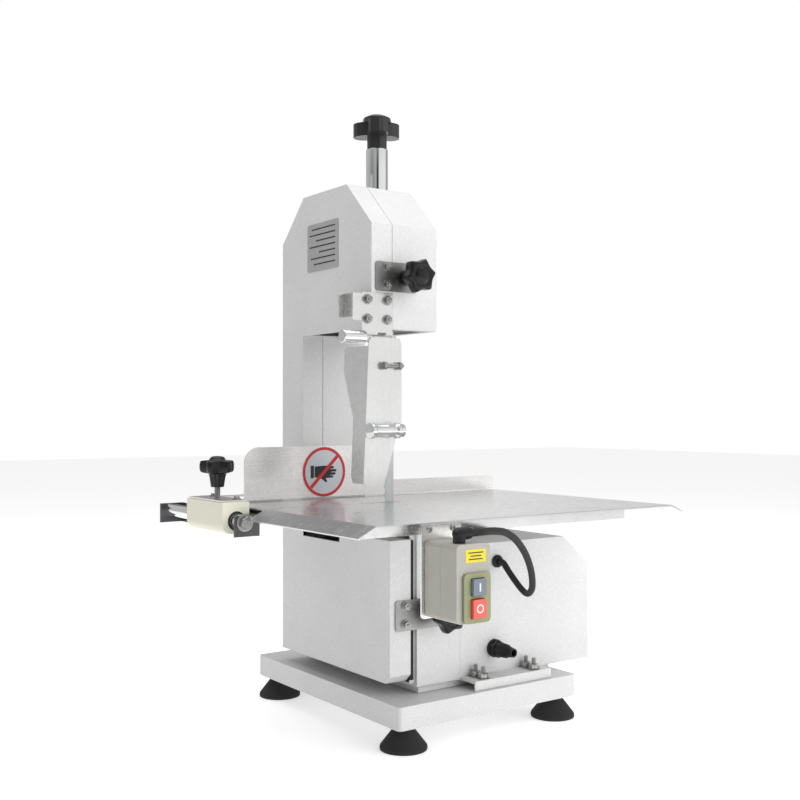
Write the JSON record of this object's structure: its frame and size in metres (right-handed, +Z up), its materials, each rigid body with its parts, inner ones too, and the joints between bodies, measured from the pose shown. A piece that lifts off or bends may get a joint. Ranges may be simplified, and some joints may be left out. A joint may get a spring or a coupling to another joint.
{
  "type": "bone saw",
  "caption": "Table-top bone saw: band blade over two wheels in a sheet-metal frame, steel table, sliding fence, swing-up blade guard, door latches and motor.",
  "frame": {"origin": "middle of the whole saw seen from above, at the surface its feet stand on", "axes": "+Z up, +X the way the work is fed from the operator side towards the motor, +Y from the near edge of the table towards the column"},
  "size_m": [0.5524, 0.5982, 0.8726],
  "materials": {
    "casing_paint": "fine speckled silver-grey textured paint, semi-gloss",
    "polished_stainless": "mirror-polished stainless sheet with fine brushing",
    "satin_stainless": "satin stainless sheet",
    "blade_steel": "ground band steel",
    "chrome": "bright turned chrome",
    "machined_steel": "machined steel, lightly oiled",
    "cast_alloy": "cast alloy with machined rim",
    "black_plastic": "moulded black phenolic, glossy",
    "black_rubber": "moulded black rubber",
    "cream_nylon": "machined cream nylon",
    "grey_plastic": "warm grey moulded box, fine texture",
    "olive_plastic": "olive moulded plate",
    "slate_button": "dark slate push button",
    "red_button": "red push button"
  },
  "bodies": {
    "frame": {"base_tray": "casing_paint", "base_riser": "casing_paint", "foot_near_left": "black_rubber", "foot_near_right": "black_rubber", "foot_far_left": "black_rubber", "foot_far_right": "black_rubber", "lower_housing": "casing_paint", "motor_cover": "casing_paint", "motor_body": "cast_alloy", "residue_tray": "polished_stainless", "saw_blade": "blade_steel", "frame_casing": "casing_paint", "upper_hinge_frame_leaf": "satin_stainless", "lower_hinge_frame_leaf": "satin_stainless", "upper_hinge_pin": "machined_steel", "lower_hinge_pin": "machined_steel", "tension_tube": "chrome", "slider_guide": "machined_steel", "upper_blade_guide": "cream_nylon", "lower_blade_guide": "cream_nylon", "table_top": "polished_stainless", "table_frame": "casing_paint", "rail_bracket": "machined_steel", "rail_rod": "chrome", "switch_bracket": "satin_stainless", "switch_base": "grey_plastic", "switch_lid": "grey_plastic", "switch_bezel": "olive_plastic", "switch_gland": "black_plastic", "switch_cord": "black_rubber", "cord_grommet": "black_rubber", "power_gland": "black_plastic"},
    "upper_door": {"upper_door": "casing_paint", "upper_hinge_door_leaf": "satin_stainless", "upper_latch_plate": "satin_stainless", "guard_bracket": "polished_stainless"},
    "lower_door": {"lower_door": "casing_paint", "lower_hinge_door_leaf": "satin_stainless", "lower_latch_plate": "satin_stainless"},
    "guard": {"guard_shield": "polished_stainless", "guard_pin": "machined_steel", "guard_barrel": "chrome", "guard_handle": "chrome"},
    "upper_latch": {"upper_latch_knob": "black_plastic"},
    "lower_latch": {"lower_latch_knob": "black_plastic"},
    "tension_handwheel": {"tension_knob": "black_plastic", "tension_screw": "machined_steel"},
    "wheel_carrier": {"wheel_slider": "cast_alloy", "upper_shaft": "machined_steel", "tension_spring": "machined_steel"},
    "upper_wheel": {"upper_wheel": "cast_alloy"},
    "drive": {"lower_wheel": "cast_alloy", "motor_shaft": "machined_steel", "motor_fan": "black_plastic"},
    "fence_carriage": {"slide_block": "cream_nylon", "fence_plate": "satin_stainless"},
    "fence_clamp": {"clamp_knob": "black_plastic"},
    "on_button": {"on_button": "slate_button"},
    "off_button": {"off_button": "red_button"}
  },
  "joints": [
    {"name": "upper_door_hinge", "type": "hinge", "parent": "frame", "child": "upper_door", "pos_m": [-0.05008, 0.2444, 0.545], "axis": [0, 0, -1], "range_deg": [0, 36]},
    {"name": "lower_door_hinge", "type": "hinge", "parent": "frame", "child": "lower_door", "pos_m": [-0.05008, 0.2434, 0.175], "axis": [0, 0, -1], "range_deg": [0, 110]},
    {"name": "guard_hinge", "type": "hinge", "parent": "upper_door", "child": "guard", "pos_m": [-0.08008, -0.0094, 0.533], "axis": [-1, 0, 0], "range_deg": [0, 95]},
    {"name": "upper_latch_turn", "type": "hinge", "parent": "frame", "child": "upper_latch", "pos_m": [-0.02908, -0.0209, 0.617], "axis": [0, 1, 0], "range_deg": [-720, 720]},
    {"name": "lower_latch_turn", "type": "hinge", "parent": "frame", "child": "lower_latch", "pos_m": [-0.01108, -0.0609, 0.168], "axis": [0, 1, 0], "range_deg": [-720, 720]},
    {"name": "tension_turn", "type": "hinge", "parent": "frame", "child": "tension_handwheel", "pos_m": [0.00692, 0.1196, 0.82], "axis": [0, 0, 1], "range_deg": [0, 1440]},
    {"name": "wheel_carrier_slide", "type": "slide", "parent": "frame", "child": "wheel_carrier", "axis": [0, 0, -1], "range_m": [0, 0.007]},
    {"name": "upper_wheel_spin", "type": "hinge", "parent": "wheel_carrier", "child": "upper_wheel", "pos_m": [-0.03848, 0.1196, 0.648], "axis": [1, 0, 0], "continuous": true},
    {"name": "drive_spin", "type": "hinge", "parent": "frame", "child": "drive", "pos_m": [-0.03848, 0.1196, 0.176], "axis": [1, 0, 0], "continuous": true},
    {"name": "fence_slide", "type": "slide", "parent": "frame", "child": "fence_carriage", "axis": [0, 1, 0], "range_m": [-0.018, 0.033]},
    {"name": "clamp_turn", "type": "hinge", "parent": "fence_carriage", "child": "fence_clamp", "pos_m": [-0.25608, 0.1071, 0.35], "axis": [0, 0, 1], "range_deg": [-360, 360]},
    {"name": "on_press", "type": "slide", "parent": "frame", "child": "on_button", "axis": [0, 1, 0], "range_m": [0, 0.004], "stiffness_N_per_m": 400, "springref_m": -0.002},
    {"name": "off_press", "type": "slide", "parent": "frame", "child": "off_button", "axis": [0, 1, 0], "range_m": [0, 0.004], "stiffness_N_per_m": 400, "springref_m": -0.002}
  ],
  "couplings": [
    {"joint": "tension_turn", "follows": "wheel_carrier_slide", "rad_per_m": 3590.4},
    {"joint": "upper_wheel_spin", "follows": "drive_spin", "ratio": 1}
  ]
}
